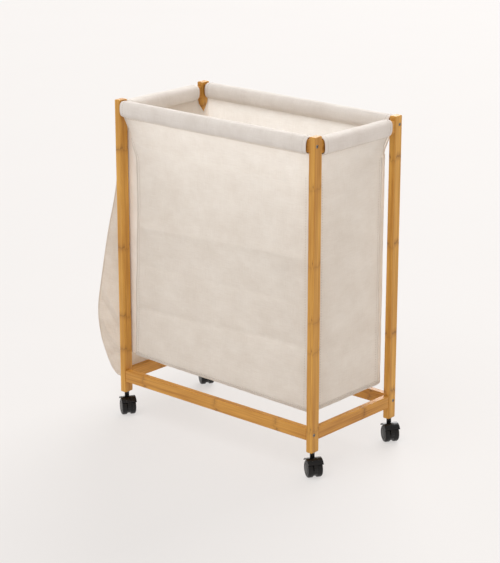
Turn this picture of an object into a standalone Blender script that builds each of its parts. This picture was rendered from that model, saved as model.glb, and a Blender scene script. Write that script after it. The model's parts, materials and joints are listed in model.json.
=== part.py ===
"""A laundry sorter on wheels.

A bamboo frame stands on four twin-wheel swivel casters. An open canvas bag hangs in it by sewn sleeves
round the top rails, and a canvas pouch hangs outside its left end.

Metres, +Z up. The long side faces -Y. The origin is on the floor, in the middle of the whole footprint.
"""

import math

import bmesh
import bpy
from mathutils import Matrix, Vector

# Frame
FRAME_WIDTH = 0.584
FRAME_DEPTH = 0.298
POST_LENGTH = 0.700
POST_WIDTH = 0.016
POST_DEPTH = 0.025
POST_ROUND = 0.0022
RAIL_HEIGHT = 0.028
RAIL_THICKNESS = 0.016
RAIL_SETBACK = 0.0006
RAIL_ROUND = 0.0016
LOW_RAIL_RISE = 0.0415
TOP_RAIL_RISE = 0.680
FIT_GAP = 0.0003

# The frame is not centred on the footprint: the pouch and the casters stand out of it unevenly.
FOOTPRINT_SHIFT_X = 0.0490
FOOTPRINT_SHIFT_Y = 0.0058

# Screws through the posts into the ends of the long rails
SCREW_LENGTH = 0.052
SCREW_RADIUS = 0.0024
SCREW_HEAD_RADIUS = 0.0038
SCREW_HEAD_DEPTH = 0.0030
SCREW_RECESS = 0.0006
SCREW_HEAD_CHAMFER = 0.0006
SCREW_POINT = 0.004
SCREW_KEY_RADIUS = 0.0021
SCREW_KEY_DEPTH = 0.0020
HOLE_CLEARANCE = 0.0004

# Casters
WHEEL_RADIUS = 0.020
WHEEL_INNER_FACE = 0.0053
WHEEL_OUTER_FACE = 0.0173
WHEEL_ROUND = 0.0042
WHEEL_INNER_CHAMFER = 0.0012
AXLE_RADIUS = 0.0025
AXLE_HALF_LENGTH = 0.0148
AXLE_END_SPACE = 0.0004
RUNNING_CLEARANCE = 0.00007
WEB_HALF_WIDTH = 0.0046
WEB_REACH = 0.0205
WEB_DROP = 0.0165
FENDER_RISE = 0.0012
FENDER_RADIUS = 0.0226
FENDER_THICKNESS = 0.0018
FENDER_HALF_WIDTH = 0.0176
FENDER_START = math.radians(34)
FENDER_END = math.radians(140)
FENDER_STEPS = 10
NECK_RADIUS = 0.0054
NECK_ROOT = 0.0030
STEM_RADIUS = 0.0032
STEM_BOTTOM = 0.031
STEM_TOP = 0.080
STEM_CHAMFER = 0.0008
SOCKET_RADIUS = 0.0046
SOCKET_FLANGE_RADIUS = 0.0064
SOCKET_FLANGE_DEPTH = 0.0012
SOCKET_LENGTH = 0.030
SOCKET_END_SPACE = 0.0015
CASTER_TRAIL = 0.010
CASTER_HEADING = math.radians(-33)
POST_FOOT = 0.054

# Bag
SLEEVE_HALF_WIDTH = 0.0130
SLEEVE_HALF_HEIGHT = 0.0183
SLEEVE_SQUARENESS = 3.2
SLEEVE_STEPS = 24
SLEEVE_WALL = 0.0017
LONG_SLEEVE_END = 0.0195
SHORT_SLEEVE_END = 0.0345
SHORT_SLEEVE_DROP = 0.003
CLOTH = 0.0024
BAG_INSET = 0.0205
BAG_CORNER_WIDTH = 0.011
BAG_CORNER_DEPTH = 0.0235
BAG_BOTTOM_RISE = 0.088
BAG_TOP_RISE = 0.6645
NOTCH_RISE = 0.612
NOTCH_REACH = 0.0115

# Pouch outside the left end: (height above the posts' feet, distance out from the posts' faces)
POUCH_PROFILE = [
    (0.650, 0.0075),
    (0.489, 0.030),
    (0.374, 0.059),
    (0.260, 0.084),
    (0.176, 0.0985),
    (0.110, 0.091),
    (0.060, 0.0685),
]
POUCH_SLING = [
    (0.060, 0.0685),
    (0.036, 0.052),
    (0.025, 0.032),
    (0.034, 0.013),
    (0.060, 0.006),
    (0.092, 0.004),
]
POUCH_CROWN = 0.024
POUCH_SAG = 0.010
POUCH_END = 0.030
POUCH_INNER = 0.004
POUCH_COLUMNS = 8
POUCH_TOP_RISE = 0.6615
GUSSET_TOP_DROP = 0.006

LEFT = FOOTPRINT_SHIFT_X - FRAME_WIDTH / 2
RIGHT = FOOTPRINT_SHIFT_X + FRAME_WIDTH / 2
FRONT = FOOTPRINT_SHIFT_Y - FRAME_DEPTH / 2
BACK = FOOTPRINT_SHIFT_Y + FRAME_DEPTH / 2
LOW_RAIL_Z = POST_FOOT + LOW_RAIL_RISE
TOP_RAIL_Z = POST_FOOT + TOP_RAIL_RISE
RAIL_INSET = RAIL_SETBACK + RAIL_THICKNESS / 2
CORNERS = {"front_left": (-1, -1), "front_right": (1, -1), "back_left": (-1, 1), "back_right": (1, 1)}


# ---------------------------------------------------------------- helpers

def clear_scene():
    for thing in list(bpy.data.objects):
        bpy.data.objects.remove(thing, do_unlink=True)


def make_material(name, colour, roughness, metallic=0.0):
    material = bpy.data.materials.new(name)
    material.use_nodes = True
    shader = material.node_tree.nodes["Principled BSDF"]
    shader.inputs["Base Color"].default_value = (*colour, 1.0)
    shader.inputs["Roughness"].default_value = roughness
    shader.inputs["Metallic"].default_value = metallic
    material.diffuse_color = (*colour, 1.0)
    return material


def place(name, mesh, material=None, location=(0, 0, 0), rotation=(0, 0, 0), parent=None):
    piece = bpy.data.objects.new(name, mesh)
    bpy.context.scene.collection.objects.link(piece)
    piece.location = location
    piece.rotation_euler = rotation
    piece.parent = parent
    if material and not mesh.materials:
        mesh.materials.append(material)
    return piece


def mesh_from(name, bm):
    bmesh.ops.recalc_face_normals(bm, faces=bm.faces)
    mesh = bpy.data.meshes.new(name)
    bm.to_mesh(mesh)
    bm.free()
    return mesh


def box_mesh(name, size):
    bm = bmesh.new()
    bmesh.ops.create_cube(bm, size=1.0, matrix=Matrix.Diagonal((*size, 1.0)))
    return mesh_from(name, bm)


def plate_mesh(name, outline, thickness, standing=False):
    """A flat plate about its outline, which lies in the local XY plane, or in XZ if standing."""
    bm = bmesh.new()
    corners = [bm.verts.new((x, y, -thickness / 2)) for x, y in outline]
    face = bm.faces.new(corners)
    lifted = bmesh.ops.extrude_face_region(bm, geom=[face])["geom"]
    moved = [item for item in lifted if isinstance(item, bmesh.types.BMVert)]
    bmesh.ops.translate(bm, vec=(0, 0, thickness), verts=moved)
    if standing:
        bmesh.ops.rotate(bm, matrix=Matrix.Rotation(math.radians(90), 3, "X"), verts=bm.verts)
    return mesh_from(name, bm)


def turned_mesh(name, profile, segments, smooth_angle=math.radians(35)):
    """A solid turned about the local Z axis from a closed profile of (radius, height)."""
    bm = bmesh.new()
    rings = []
    for radius, height in profile:
        if radius == 0:
            rings.append([bm.verts.new((0, 0, height))] * segments)
            continue
        angles = [2 * math.pi * step / segments for step in range(segments)]
        rings.append([bm.verts.new((radius * math.cos(a), radius * math.sin(a), height)) for a in angles])
    for index, ring in enumerate(rings):
        following = rings[(index + 1) % len(rings)]
        for step in range(segments):
            after = (step + 1) % segments
            corners = [ring[step], ring[after], following[after], following[step]]
            distinct = list(dict.fromkeys(corners))
            if len(distinct) > 2:
                bm.faces.new(distinct)
    mesh = mesh_from(name, bm)
    mesh.shade_smooth()
    mesh.set_sharp_from_angle(angle=smooth_angle)
    return mesh


def add_bevel(piece, width, segments):
    bevel = piece.modifiers.new("rounded edges", "BEVEL")
    bevel.width = width
    bevel.segments = segments
    bevel.limit_method = "ANGLE"


def add_boolean(piece, tool, operation):
    boolean = piece.modifiers.new(operation.lower(), "BOOLEAN")
    boolean.operation = operation
    boolean.solver = "EXACT"
    boolean.object = tool
    tool.hide_render = True
    tool.display_type = "WIRE"


def settled_mesh(piece, name, leftovers):
    """The piece's mesh with its modifiers applied. The piece and its tools are then removed."""
    graph = bpy.context.evaluated_depsgraph_get()
    mesh = bpy.data.meshes.new_from_object(piece.evaluated_get(graph))
    mesh.name = name
    for thing in [piece, *leftovers]:
        bpy.data.objects.remove(thing, do_unlink=True)
    return mesh


def smooth_curve(points, steps):
    """Points evenly spaced in parameter on a Catmull-Rom curve through the given 2-D points."""
    ends = [points[0], *points, points[-1]]
    curve = []
    for index in range(len(points) - 1):
        a, b, c, d = (Vector(p) for p in ends[index:index + 4])
        for step in range(steps):
            t = step / steps
            rising = (c - a) * t + (2 * a - 5 * b + 4 * c - d) * t * t + (3 * b - a - 3 * c + d) * t ** 3
            curve.append(b + rising / 2)
    curve.append(Vector(points[-1]))
    return curve


def sheet_piece(name, rows, thickness, material):
    """A closed cloth solid: a grid of points thickened evenly about itself."""
    bm = bmesh.new()
    grid = [[bm.verts.new(point) for point in row] for row in rows]
    for low, high in zip(grid, grid[1:]):
        for step in range(len(low) - 1):
            bm.faces.new((low[step], low[step + 1], high[step + 1], high[step]))
    piece = place(name, mesh_from(name, bm), material)
    solid = piece.modifiers.new("cloth thickness", "SOLIDIFY")
    solid.thickness = thickness
    solid.offset = 0
    return piece


# ---------------------------------------------------------------- wooden frame

def post_centre(side_x, side_y):
    x = RIGHT - POST_WIDTH / 2 if side_x > 0 else LEFT + POST_WIDTH / 2
    y = BACK - POST_DEPTH / 2 if side_y > 0 else FRONT + POST_DEPTH / 2
    return Vector((x, y, 0))


def long_rail_y(side_y):
    return BACK - RAIL_INSET if side_y > 0 else FRONT + RAIL_INSET


def bore_tool(name, radius, length, location, rotation=(0, 0, 0), segments=14):
    profile = [(0, -length / 2), (radius, -length / 2), (radius, length / 2), (0, length / 2)]
    return place(name, turned_mesh(name, profile, segments), location=location, rotation=rotation)


def build_posts(wood):
    for corner, (side_x, side_y) in CORNERS.items():
        centre = post_centre(side_x, side_y)
        centre.z = POST_FOOT + POST_LENGTH / 2
        mesh = box_mesh("post_" + corner, (POST_WIDTH, POST_DEPTH, POST_LENGTH))
        post = place("post_" + corner, mesh, wood, centre)
        add_bevel(post, POST_ROUND, 2)
        across = (0, math.radians(90), 0)
        face_x = centre.x + side_x * POST_WIDTH / 2
        for level, z in (("low", LOW_RAIL_Z), ("top", TOP_RAIL_Z)):
            label = f"bore_{corner}_{level}"
            through = (centre.x, long_rail_y(side_y), z)
            shank = bore_tool(label, SCREW_RADIUS + HOLE_CLEARANCE, 2 * POST_WIDTH, through, across)
            seat_radius = SCREW_HEAD_RADIUS + HOLE_CLEARANCE
            seat_depth = SCREW_HEAD_DEPTH + SCREW_RECESS
            seat_place = (face_x, long_rail_y(side_y), z)
            seat = bore_tool(label + "_seat", seat_radius, 2 * seat_depth, seat_place, across)
            add_boolean(post, shank, "DIFFERENCE")
            add_boolean(post, seat, "DIFFERENCE")
        foot = (centre.x, centre.y, POST_FOOT)
        bore_length = 2 * (SOCKET_LENGTH + SOCKET_END_SPACE)
        socket_bore = bore_tool("socket_bore_" + corner, SOCKET_RADIUS + HOLE_CLEARANCE, bore_length, foot)
        add_boolean(post, socket_bore, "DIFFERENCE")


def build_long_rail(name, side_y, z, wood):
    length = FRAME_WIDTH - 2 * POST_WIDTH - 2 * FIT_GAP
    mesh = box_mesh(name, (length, RAIL_THICKNESS, RAIL_HEIGHT))
    rail = place(name, mesh, wood, (FOOTPRINT_SHIFT_X, long_rail_y(side_y), z))
    add_bevel(rail, RAIL_ROUND, 2)
    across = (0, math.radians(90), 0)
    pilot_radius = SCREW_RADIUS + HOLE_CLEARANCE
    for end in (-1, 1):
        pilot_place = (FOOTPRINT_SHIFT_X + end * length / 2, long_rail_y(side_y), z)
        pilot = bore_tool(f"{name}_pilot_{end}", pilot_radius, 2 * SCREW_LENGTH, pilot_place, across)
        add_boolean(rail, pilot, "DIFFERENCE")


def build_short_rail(name, side_x, z, wood):
    length = FRAME_DEPTH - 2 * POST_DEPTH - 2 * FIT_GAP
    mesh = box_mesh(name, (POST_WIDTH - 2 * RAIL_SETBACK, length, RAIL_HEIGHT))
    rail = place(name, mesh, wood, (post_centre(side_x, 1).x, FOOTPRINT_SHIFT_Y, z))
    add_bevel(rail, RAIL_ROUND, 2)


def build_rails(wood):
    for side, side_y in (("front", -1), ("back", 1)):
        build_long_rail("bottom_rail_" + side, side_y, LOW_RAIL_Z, wood)
        build_long_rail("top_rail_" + side, side_y, TOP_RAIL_Z, wood)
    for side, side_x in (("left", -1), ("right", 1)):
        build_short_rail("bottom_rail_" + side, side_x, LOW_RAIL_Z, wood)
        build_short_rail("top_rail_" + side, side_x, TOP_RAIL_Z - SHORT_SLEEVE_DROP, wood)


def screw_mesh():
    """A socket-head screw along +Z, its head's outer face at the origin and its shank running down."""
    key_floor = -SCREW_KEY_DEPTH
    profile = [
        (0, key_floor),
        (SCREW_KEY_RADIUS, key_floor),
        (SCREW_KEY_RADIUS, 0),
        (SCREW_HEAD_RADIUS - SCREW_HEAD_CHAMFER, 0),
        (SCREW_HEAD_RADIUS, -SCREW_HEAD_CHAMFER),
        (SCREW_HEAD_RADIUS, -SCREW_HEAD_DEPTH),
        (SCREW_RADIUS, -SCREW_HEAD_DEPTH),
        (SCREW_RADIUS, -SCREW_LENGTH + SCREW_POINT),
        (0, -SCREW_LENGTH),
    ]
    return turned_mesh("frame_screw", profile, 12)


def build_screws(steel):
    mesh = screw_mesh()
    for corner, (side_x, side_y) in CORNERS.items():
        face_x = post_centre(side_x, side_y).x + side_x * (POST_WIDTH / 2 - SCREW_RECESS + FIT_GAP)
        turn = (0, math.radians(90) * side_x, 0)
        for level, z in (("bottom", LOW_RAIL_Z), ("top", TOP_RAIL_Z)):
            place(f"screw_{corner}_{level}", mesh, steel, (face_x, long_rail_y(side_y), z), turn)


# ---------------------------------------------------------------- casters

def wheel_mesh():
    """One wheel along +Z, its closed outer face away from the origin and a blind bore from its inner face."""
    bore = AXLE_RADIUS + RUNNING_CLEARANCE
    bore_floor = AXLE_HALF_LENGTH + AXLE_END_SPACE
    shoulder = []
    shoulder_steps = 3
    for step in range(shoulder_steps + 1):
        angle = math.radians(90) * step / shoulder_steps
        radius = WHEEL_RADIUS - WHEEL_ROUND * (1 - math.cos(angle))
        shoulder.append((radius, WHEEL_OUTER_FACE - WHEEL_ROUND * (1 - math.sin(angle))))
    profile = [
        (0, bore_floor),
        (bore, bore_floor),
        (bore, WHEEL_INNER_FACE),
        (WHEEL_RADIUS - WHEEL_INNER_CHAMFER, WHEEL_INNER_FACE),
        (WHEEL_RADIUS, WHEEL_INNER_FACE + WHEEL_INNER_CHAMFER),
        *shoulder,
        (0, WHEEL_OUTER_FACE),
    ]
    return turned_mesh("caster_wheel", profile, 24)


def arc(centre_z, reach, height, start, end, steps):
    """Points on an elliptic arc in the upright plane of a wheel, centred above or below its axle."""
    angles = [start + (end - start) * step / steps for step in range(steps + 1)]
    return [(reach * math.cos(angle), centre_z + height * math.sin(angle)) for angle in angles]


def web_outline():
    """The housing between the two wheels: a round top that meets the fender, and a shallower underside."""
    top = FENDER_RADIUS - FENDER_THICKNESS / 2
    upper = arc(FENDER_RISE, top, top, 0, math.pi, 12)
    return upper + arc(0, WEB_REACH, WEB_DROP, math.pi, 2 * math.pi, 8)


def fender_outline():
    """The curved cover over both wheels."""
    inside = FENDER_RADIUS - FENDER_THICKNESS
    outer = arc(FENDER_RISE, FENDER_RADIUS, FENDER_RADIUS, FENDER_START, FENDER_END, FENDER_STEPS)
    return outer + arc(FENDER_RISE, inside, inside, FENDER_END, FENDER_START, FENDER_STEPS)


def hood_mesh():
    """The caster's housing. The axle runs along local Y through the origin, and the stem stands at -X."""
    hood = place("hood_blank", plate_mesh("web", web_outline(), 2 * WEB_HALF_WIDTH, standing=True))
    fender = place("fender", plate_mesh("fender", fender_outline(), 2 * FENDER_HALF_WIDTH, standing=True))
    neck_bottom = FENDER_RISE + math.sqrt(FENDER_RADIUS ** 2 - CASTER_TRAIL ** 2) - NECK_ROOT
    neck_top = POST_FOOT - SOCKET_FLANGE_DEPTH - 2 * FIT_GAP - WHEEL_RADIUS
    neck_centre = (-CASTER_TRAIL, 0, (neck_top + neck_bottom) / 2)
    neck = bore_tool("neck", NECK_RADIUS, neck_top - neck_bottom, neck_centre, segments=18)
    stem_floor = STEM_BOTTOM - FIT_GAP - WHEEL_RADIUS
    stem_hole_length = 2 * (neck_top - stem_floor)
    stem_hole = bore_tool("stem_hole", STEM_RADIUS + FIT_GAP, stem_hole_length, (-CASTER_TRAIL, 0, neck_top))
    across = (math.radians(90), 0, 0)
    axle_hole = bore_tool("axle_hole", AXLE_RADIUS + FIT_GAP, 6 * WEB_HALF_WIDTH, (0, 0, 0), across)
    add_boolean(hood, fender, "UNION")
    add_boolean(hood, neck, "UNION")
    add_boolean(hood, stem_hole, "DIFFERENCE")
    add_boolean(hood, axle_hole, "DIFFERENCE")
    mesh = settled_mesh(hood, "caster_hood", [fender, neck, stem_hole, axle_hole])
    mesh.shade_smooth()
    mesh.set_sharp_from_angle(angle=math.radians(35))
    return mesh


def socket_mesh():
    """A flanged sleeve pressed into the post's foot. Local Z = 0 is the post's foot."""
    bore = STEM_RADIUS + RUNNING_CLEARANCE
    profile = [
        (bore, -SOCKET_FLANGE_DEPTH),
        (SOCKET_FLANGE_RADIUS, -SOCKET_FLANGE_DEPTH),
        (SOCKET_FLANGE_RADIUS, -FIT_GAP),
        (SOCKET_RADIUS, -FIT_GAP),
        (SOCKET_RADIUS, SOCKET_LENGTH),
        (bore, SOCKET_LENGTH),
    ]
    return turned_mesh("caster_socket", profile, 20)


def stem_mesh():
    profile = [
        (0, STEM_BOTTOM),
        (STEM_RADIUS, STEM_BOTTOM),
        (STEM_RADIUS, STEM_TOP - STEM_CHAMFER),
        (STEM_RADIUS - STEM_CHAMFER, STEM_TOP),
        (0, STEM_TOP),
    ]
    return turned_mesh("caster_stem", profile, 20)


def axle_mesh():
    profile = [
        (0, -AXLE_HALF_LENGTH),
        (AXLE_RADIUS, -AXLE_HALF_LENGTH),
        (AXLE_RADIUS, AXLE_HALF_LENGTH),
        (0, AXLE_HALF_LENGTH),
    ]
    return turned_mesh("caster_axle", profile, 20)


def build_casters(black, rubber, steel):
    meshes = {
        "hood": hood_mesh(),
        "wheel": wheel_mesh(),
        "socket": socket_mesh(),
        "stem": stem_mesh(),
        "axle": axle_mesh(),
    }
    for corner, (side_x, side_y) in CORNERS.items():
        name = "caster_" + corner
        centre = post_centre(side_x, side_y)
        place(name + "_socket", meshes["socket"], steel, (centre.x, centre.y, POST_FOOT))
        swivel = place(name + "_swivel_axis", None, location=centre, rotation=(0, 0, CASTER_HEADING))
        place(name + "_stem", meshes["stem"], steel, parent=swivel)
        hub = (CASTER_TRAIL, 0, WHEEL_RADIUS)
        place(name + "_hood", meshes["hood"], black, hub, parent=swivel)
        quarter = math.radians(90)
        place(name + "_axle", meshes["axle"], steel, hub, (quarter, 0, 0), swivel)
        place(name + "_wheel_a", meshes["wheel"], rubber, hub, (quarter, quarter, 0), swivel)
        place(name + "_wheel_b", meshes["wheel"], rubber, hub, (-quarter, quarter, 0), swivel)


# ---------------------------------------------------------------- bag

def build_sleeves(canvas):
    """The four sleeves round the top rails. The short ones hang a little lower than the long ones."""
    long_half = FRAME_WIDTH / 2 - LONG_SLEEVE_END
    short_half = FRAME_DEPTH / 2 - SHORT_SLEEVE_END
    for side, side_y in (("front", -1), ("back", 1)):
        centre = (FOOTPRINT_SHIFT_X, long_rail_y(side_y), TOP_RAIL_Z)
        place("bag_sleeve_" + side, sleeve_mesh("bag_sleeve_" + side, long_half, 0), canvas, centre)
    for side, side_x in (("left", -1), ("right", 1)):
        centre = (post_centre(side_x, 1).x, FOOTPRINT_SHIFT_Y, TOP_RAIL_Z - SHORT_SLEEVE_DROP)
        place("bag_sleeve_" + side, sleeve_mesh("bag_sleeve_" + side, short_half, 1), canvas, centre)


def sleeve_mesh(name, half_length, axis):
    """A tube along X (axis 0) or Y (axis 1), in the rounded oblong that cloth takes round a rail."""
    bm = bmesh.new()
    rings = []
    section = [(-half_length, SLEEVE_WALL), (-half_length, 0), (half_length, 0), (half_length, SLEEVE_WALL)]
    for along, inset in section:
        ring = []
        for step in range(SLEEVE_STEPS):
            angle = 2 * math.pi * step / SLEEVE_STEPS
            across = (SLEEVE_HALF_WIDTH - inset) * squared(math.cos(angle))
            up = (SLEEVE_HALF_HEIGHT - inset) * squared(math.sin(angle))
            ring.append(bm.verts.new((along, across, up) if axis == 0 else (across, along, up)))
        rings.append(ring)
    for index, ring in enumerate(rings):
        following = rings[(index + 1) % len(rings)]
        for step in range(SLEEVE_STEPS):
            after = (step + 1) % SLEEVE_STEPS
            bm.faces.new((ring[step], ring[after], following[after], following[step]))
    mesh = mesh_from(name, bm)
    mesh.shade_smooth()
    mesh.set_sharp_from_angle(angle=math.radians(35))
    return mesh


def squared(value):
    """A sine or cosine pushed outwards, so that a circle becomes a rounded oblong."""
    return math.copysign(abs(value) ** (2 / SLEEVE_SQUARENESS), value)


def notched_outline(half_width):
    """A panel's outline about its own middle, with a slanting notch at each top corner."""
    bottom = POST_FOOT + BAG_BOTTOM_RISE
    notch = POST_FOOT + NOTCH_RISE
    top = POST_FOOT + BAG_TOP_RISE
    wide = half_width + NOTCH_REACH
    right_edge = [(half_width, bottom), (half_width, notch), (wide, top)]
    left_edge = [(-x, z) for x, z in reversed(right_edge)]
    return right_edge + left_edge


def build_bag(canvas):
    half_width = FRAME_WIDTH / 2 - BAG_INSET - BAG_CORNER_WIDTH
    for side, y in (("front", FRONT + BAG_INSET), ("back", BACK - BAG_INSET)):
        mesh = plate_mesh("bag_panel_" + side, notched_outline(half_width), CLOTH, standing=True)
        place("bag_panel_" + side, mesh, canvas, (FOOTPRINT_SHIFT_X, y, 0))
    build_end_panels(canvas)
    build_bag_bottom(canvas)


def build_end_panels(canvas):
    """The two end panels, each with slanting returns that meet the front and back panels at the corners."""
    half_depth = FRAME_DEPTH / 2 - BAG_INSET - BAG_CORNER_DEPTH
    top_half = FRAME_DEPTH / 2 - SHORT_SLEEVE_END
    return_y = half_depth + BAG_CORNER_DEPTH - CLOTH
    bottom = POST_FOOT + BAG_BOTTOM_RISE
    notch = POST_FOOT + NOTCH_RISE
    top = POST_FOOT + BAG_TOP_RISE - SHORT_SLEEVE_DROP
    for side, side_x in (("left", -1), ("right", 1)):
        flat_x = FOOTPRINT_SHIFT_X + side_x * (FRAME_WIDTH / 2 - BAG_INSET)
        return_x = flat_x - side_x * (BAG_CORNER_WIDTH - CLOTH)
        plan = [(return_x, -return_y), (flat_x, -half_depth), (flat_x, half_depth), (return_x, return_y)]
        rows = [[(x, FOOTPRINT_SHIFT_Y + y, z) for x, y in plan] for z in (bottom, notch)]
        reaches = (-top_half, -half_depth, half_depth, top_half)
        rows.append([(flat_x, FOOTPRINT_SHIFT_Y + y, top) for y in reaches])
        sheet_piece("bag_panel_" + side, rows, CLOTH, canvas)


def build_bag_bottom(canvas):
    gap = CLOTH + FIT_GAP
    half_width = FRAME_WIDTH / 2 - BAG_INSET - gap
    half_depth = FRAME_DEPTH / 2 - BAG_INSET - gap
    outline = []
    for side_x, side_y in ((-1, -1), (1, -1), (1, 1), (-1, 1)):
        near_x = (side_x * (half_width - BAG_CORNER_WIDTH), side_y * half_depth)
        near_y = (side_x * half_width, side_y * (half_depth - BAG_CORNER_DEPTH))
        outline += [near_y, near_x] if side_x * side_y > 0 else [near_x, near_y]
    height = POST_FOOT + BAG_BOTTOM_RISE + CLOTH / 2
    mesh = plate_mesh("bag_bottom", outline, CLOTH)
    place("bag_bottom", mesh, canvas, (FOOTPRINT_SHIFT_X, FOOTPRINT_SHIFT_Y, height))


# ---------------------------------------------------------------- pouch

def pouch_row(height, out, swell, sag):
    """Points across the pouch at one height, swollen outward and sagging between its two ends."""
    half = FRAME_DEPTH / 2 - POUCH_END
    row = []
    for column in range(POUCH_COLUMNS + 1):
        share = column / POUCH_COLUMNS
        bulge = math.sin(math.pi * share)
        y = FOOTPRINT_SHIFT_Y - half + 2 * half * share
        row.append((LEFT - out - swell * bulge, y, POST_FOOT + height - sag * bulge))
    return row


def pouch_sling_rows(sling):
    """The pouch's bottom: a sling from the outer panel's seam, under its lowest line, to the inner panel."""
    seam = sling[0][0]
    lowest = min(sling, key=lambda point: point[0])[0]
    turn = next(index for index, point in enumerate(sling) if point[0] == lowest)
    rows = []
    for index, (height, out) in enumerate(sling):
        swell = POUCH_CROWN * max(0, 1 - index / turn)
        sag = POUCH_SAG * max(0, (seam - height) / (seam - lowest))
        rows.append(pouch_row(height, out, swell, sag))
    return rows


def build_pouch(canvas):
    wall = smooth_curve(POUCH_PROFILE, 2)
    sling = smooth_curve(POUCH_SLING, 2)
    gusset_outline = [(-out, height) for height, out in wall[:-1] + sling]
    gusset_outline.append((-POUCH_INNER, POUCH_TOP_RISE - GUSSET_TOP_DROP))
    seam_gap = Vector((CLOTH / 2 + FIT_GAP, 0))
    inner_seam = sling[-1][0]
    wall[-1] = wall[-1] + seam_gap
    sling[-1] = sling[-1] - seam_gap
    wall_rows = [pouch_row(height, out, POUCH_CROWN, 0) for height, out in wall]
    sheet_piece("pouch_outer_panel", wall_rows, CLOTH, canvas)
    sheet_piece("pouch_bottom_panel", pouch_sling_rows(sling), CLOTH, canvas)
    height = POUCH_TOP_RISE - inner_seam
    depth = FRAME_DEPTH - 2 * POUCH_END
    inner = box_mesh("pouch_inner_panel", (CLOTH, depth, height))
    centre_z = POST_FOOT + inner_seam + height / 2
    place("pouch_inner_panel", inner, canvas, (LEFT - POUCH_INNER, FOOTPRINT_SHIFT_Y, centre_z))
    for side, side_y in (("front", -1), ("back", 1)):
        y = FOOTPRINT_SHIFT_Y + side_y * (FRAME_DEPTH / 2 - POUCH_END + CLOTH)
        mesh = plate_mesh("pouch_gusset_" + side, gusset_outline, CLOTH, standing=True)
        place("pouch_gusset_" + side, mesh, canvas, (LEFT, y, POST_FOOT))


def main():
    clear_scene()
    bamboo = make_material("bamboo", (0.52, 0.29, 0.09), 0.45)
    canvas = make_material("canvas", (0.72, 0.66, 0.58), 0.9)
    black = make_material("black plastic", (0.015, 0.015, 0.016), 0.35)
    tread = make_material("black tread", (0.02, 0.02, 0.02), 0.5)
    steel = make_material("steel", (0.35, 0.34, 0.33), 0.35, 1.0)
    build_posts(bamboo)
    build_rails(bamboo)
    build_screws(steel)
    build_casters(black, tread, steel)
    build_sleeves(canvas)
    build_bag(canvas)
    build_pouch(canvas)


main()
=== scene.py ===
"""The looks of a rolling laundry sorter: a bamboo frame, a canvas bag with a side pouch, and black casters.

Metres, +Z up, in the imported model's own frame. A height counts up from the posts' feet, and an inset counts
inward from the frame's outer faces.
"""

import json
import math

import bpy
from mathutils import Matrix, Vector, noise


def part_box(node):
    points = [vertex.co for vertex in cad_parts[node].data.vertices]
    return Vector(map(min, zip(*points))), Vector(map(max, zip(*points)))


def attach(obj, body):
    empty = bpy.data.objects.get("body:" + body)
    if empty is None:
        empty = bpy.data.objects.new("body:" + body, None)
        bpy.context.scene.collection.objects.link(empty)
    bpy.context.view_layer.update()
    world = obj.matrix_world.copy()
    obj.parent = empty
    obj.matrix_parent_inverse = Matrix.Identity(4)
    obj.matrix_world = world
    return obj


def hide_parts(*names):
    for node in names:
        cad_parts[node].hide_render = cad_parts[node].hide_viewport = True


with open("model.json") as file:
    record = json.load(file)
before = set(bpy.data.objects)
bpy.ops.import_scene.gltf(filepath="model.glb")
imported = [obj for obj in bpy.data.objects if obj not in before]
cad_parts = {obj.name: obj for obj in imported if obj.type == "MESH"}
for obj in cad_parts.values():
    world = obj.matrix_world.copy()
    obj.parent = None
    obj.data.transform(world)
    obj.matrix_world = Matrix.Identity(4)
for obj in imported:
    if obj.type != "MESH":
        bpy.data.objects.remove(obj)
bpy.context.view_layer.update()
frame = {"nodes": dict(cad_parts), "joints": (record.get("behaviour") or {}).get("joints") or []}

LEFT, FRONT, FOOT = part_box("post_front_left")[0]
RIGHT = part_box("post_front_right")[1].x
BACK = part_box("post_back_left")[1].y
WIDTH = RIGHT - LEFT
DEPTH = BACK - FRONT
MIDDLE_X = (LEFT + RIGHT) / 2
MIDDLE_Y = (FRONT + BACK) / 2
CORNERS = ("front_left", "front_right", "back_left", "back_right")

# Bag
BAG_INSET = 0.0205
BAG_LOW = 0.090
BAG_TILT = 0.0045
BAG_NOTCH = 0.612
BAG_TOP = 0.6630
SWING_START = 0.612
END_SLEEVE_DROP = 0.003
# How far in the panels' top edges lie, under the long and the short sleeves
LONG_SLEEVE_INSET = 0.0090
SHORT_SLEEVE_INSET = 0.0080
# How far in from the left end the front panel's edge lies, from the bottom up to the notch
FRONT_LEFT_EDGE = [
    (0.085, 0.0325), (0.217, 0.038), (0.337, 0.043),
    (0.456, 0.049), (0.560, 0.0475), (0.612, 0.0315),
]
LONG_EDGE = 0.0310
NEAR_EDGE = 0.0435
FAR_EDGE = 0.0440
LONG_SLEEVE_END = 0.0200
NEAR_SLEEVE_END = 0.0285
FAR_SLEEVE_END = 0.0405
# The left panel's far edge: below the notch, and at the sleeve
LEFT_FAR_EDGE = (0.0385, 0.0330)
CORNER_BULGE = 0.0022
BILLOW = 0.0020
CREASE_REACH = 0.030
CREASE_EDGE = 0.0055
# Folds left by packing: height at the panel's left edge, height at its right edge, how far it stands out
CREASES = {
    "front": [
        (0.597, 0.590, 0.0040), (0.409, 0.433, 0.0082),
        (0.208, 0.232, -0.0074), (0.318, 0.326, -0.0026),
    ],
    "right": [(0.425, 0.352, 0.0056), (0.205, 0.222, -0.0042), (0.560, 0.548, 0.0026)],
    "back": [(0.430, 0.412, 0.0060), (0.228, 0.214, -0.0052), (0.585, 0.590, 0.0026)],
    "left": [(0.395, 0.418, 0.0052), (0.214, 0.202, -0.0042)],
}
SIDES = ("front", "right", "back", "left")
LONG_STEPS = 100
SHORT_STEPS = 48
CORNER_STEPS = 12
NOTCH_VEE = 0.020
# How much higher the notch ends at the corner after each side
NOTCH_LIFT = {"front": 0.0, "right": 0.004, "back": 0.020, "left": 0.0}
LOW_STEPS = 118
TOP_STEPS = 16
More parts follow.
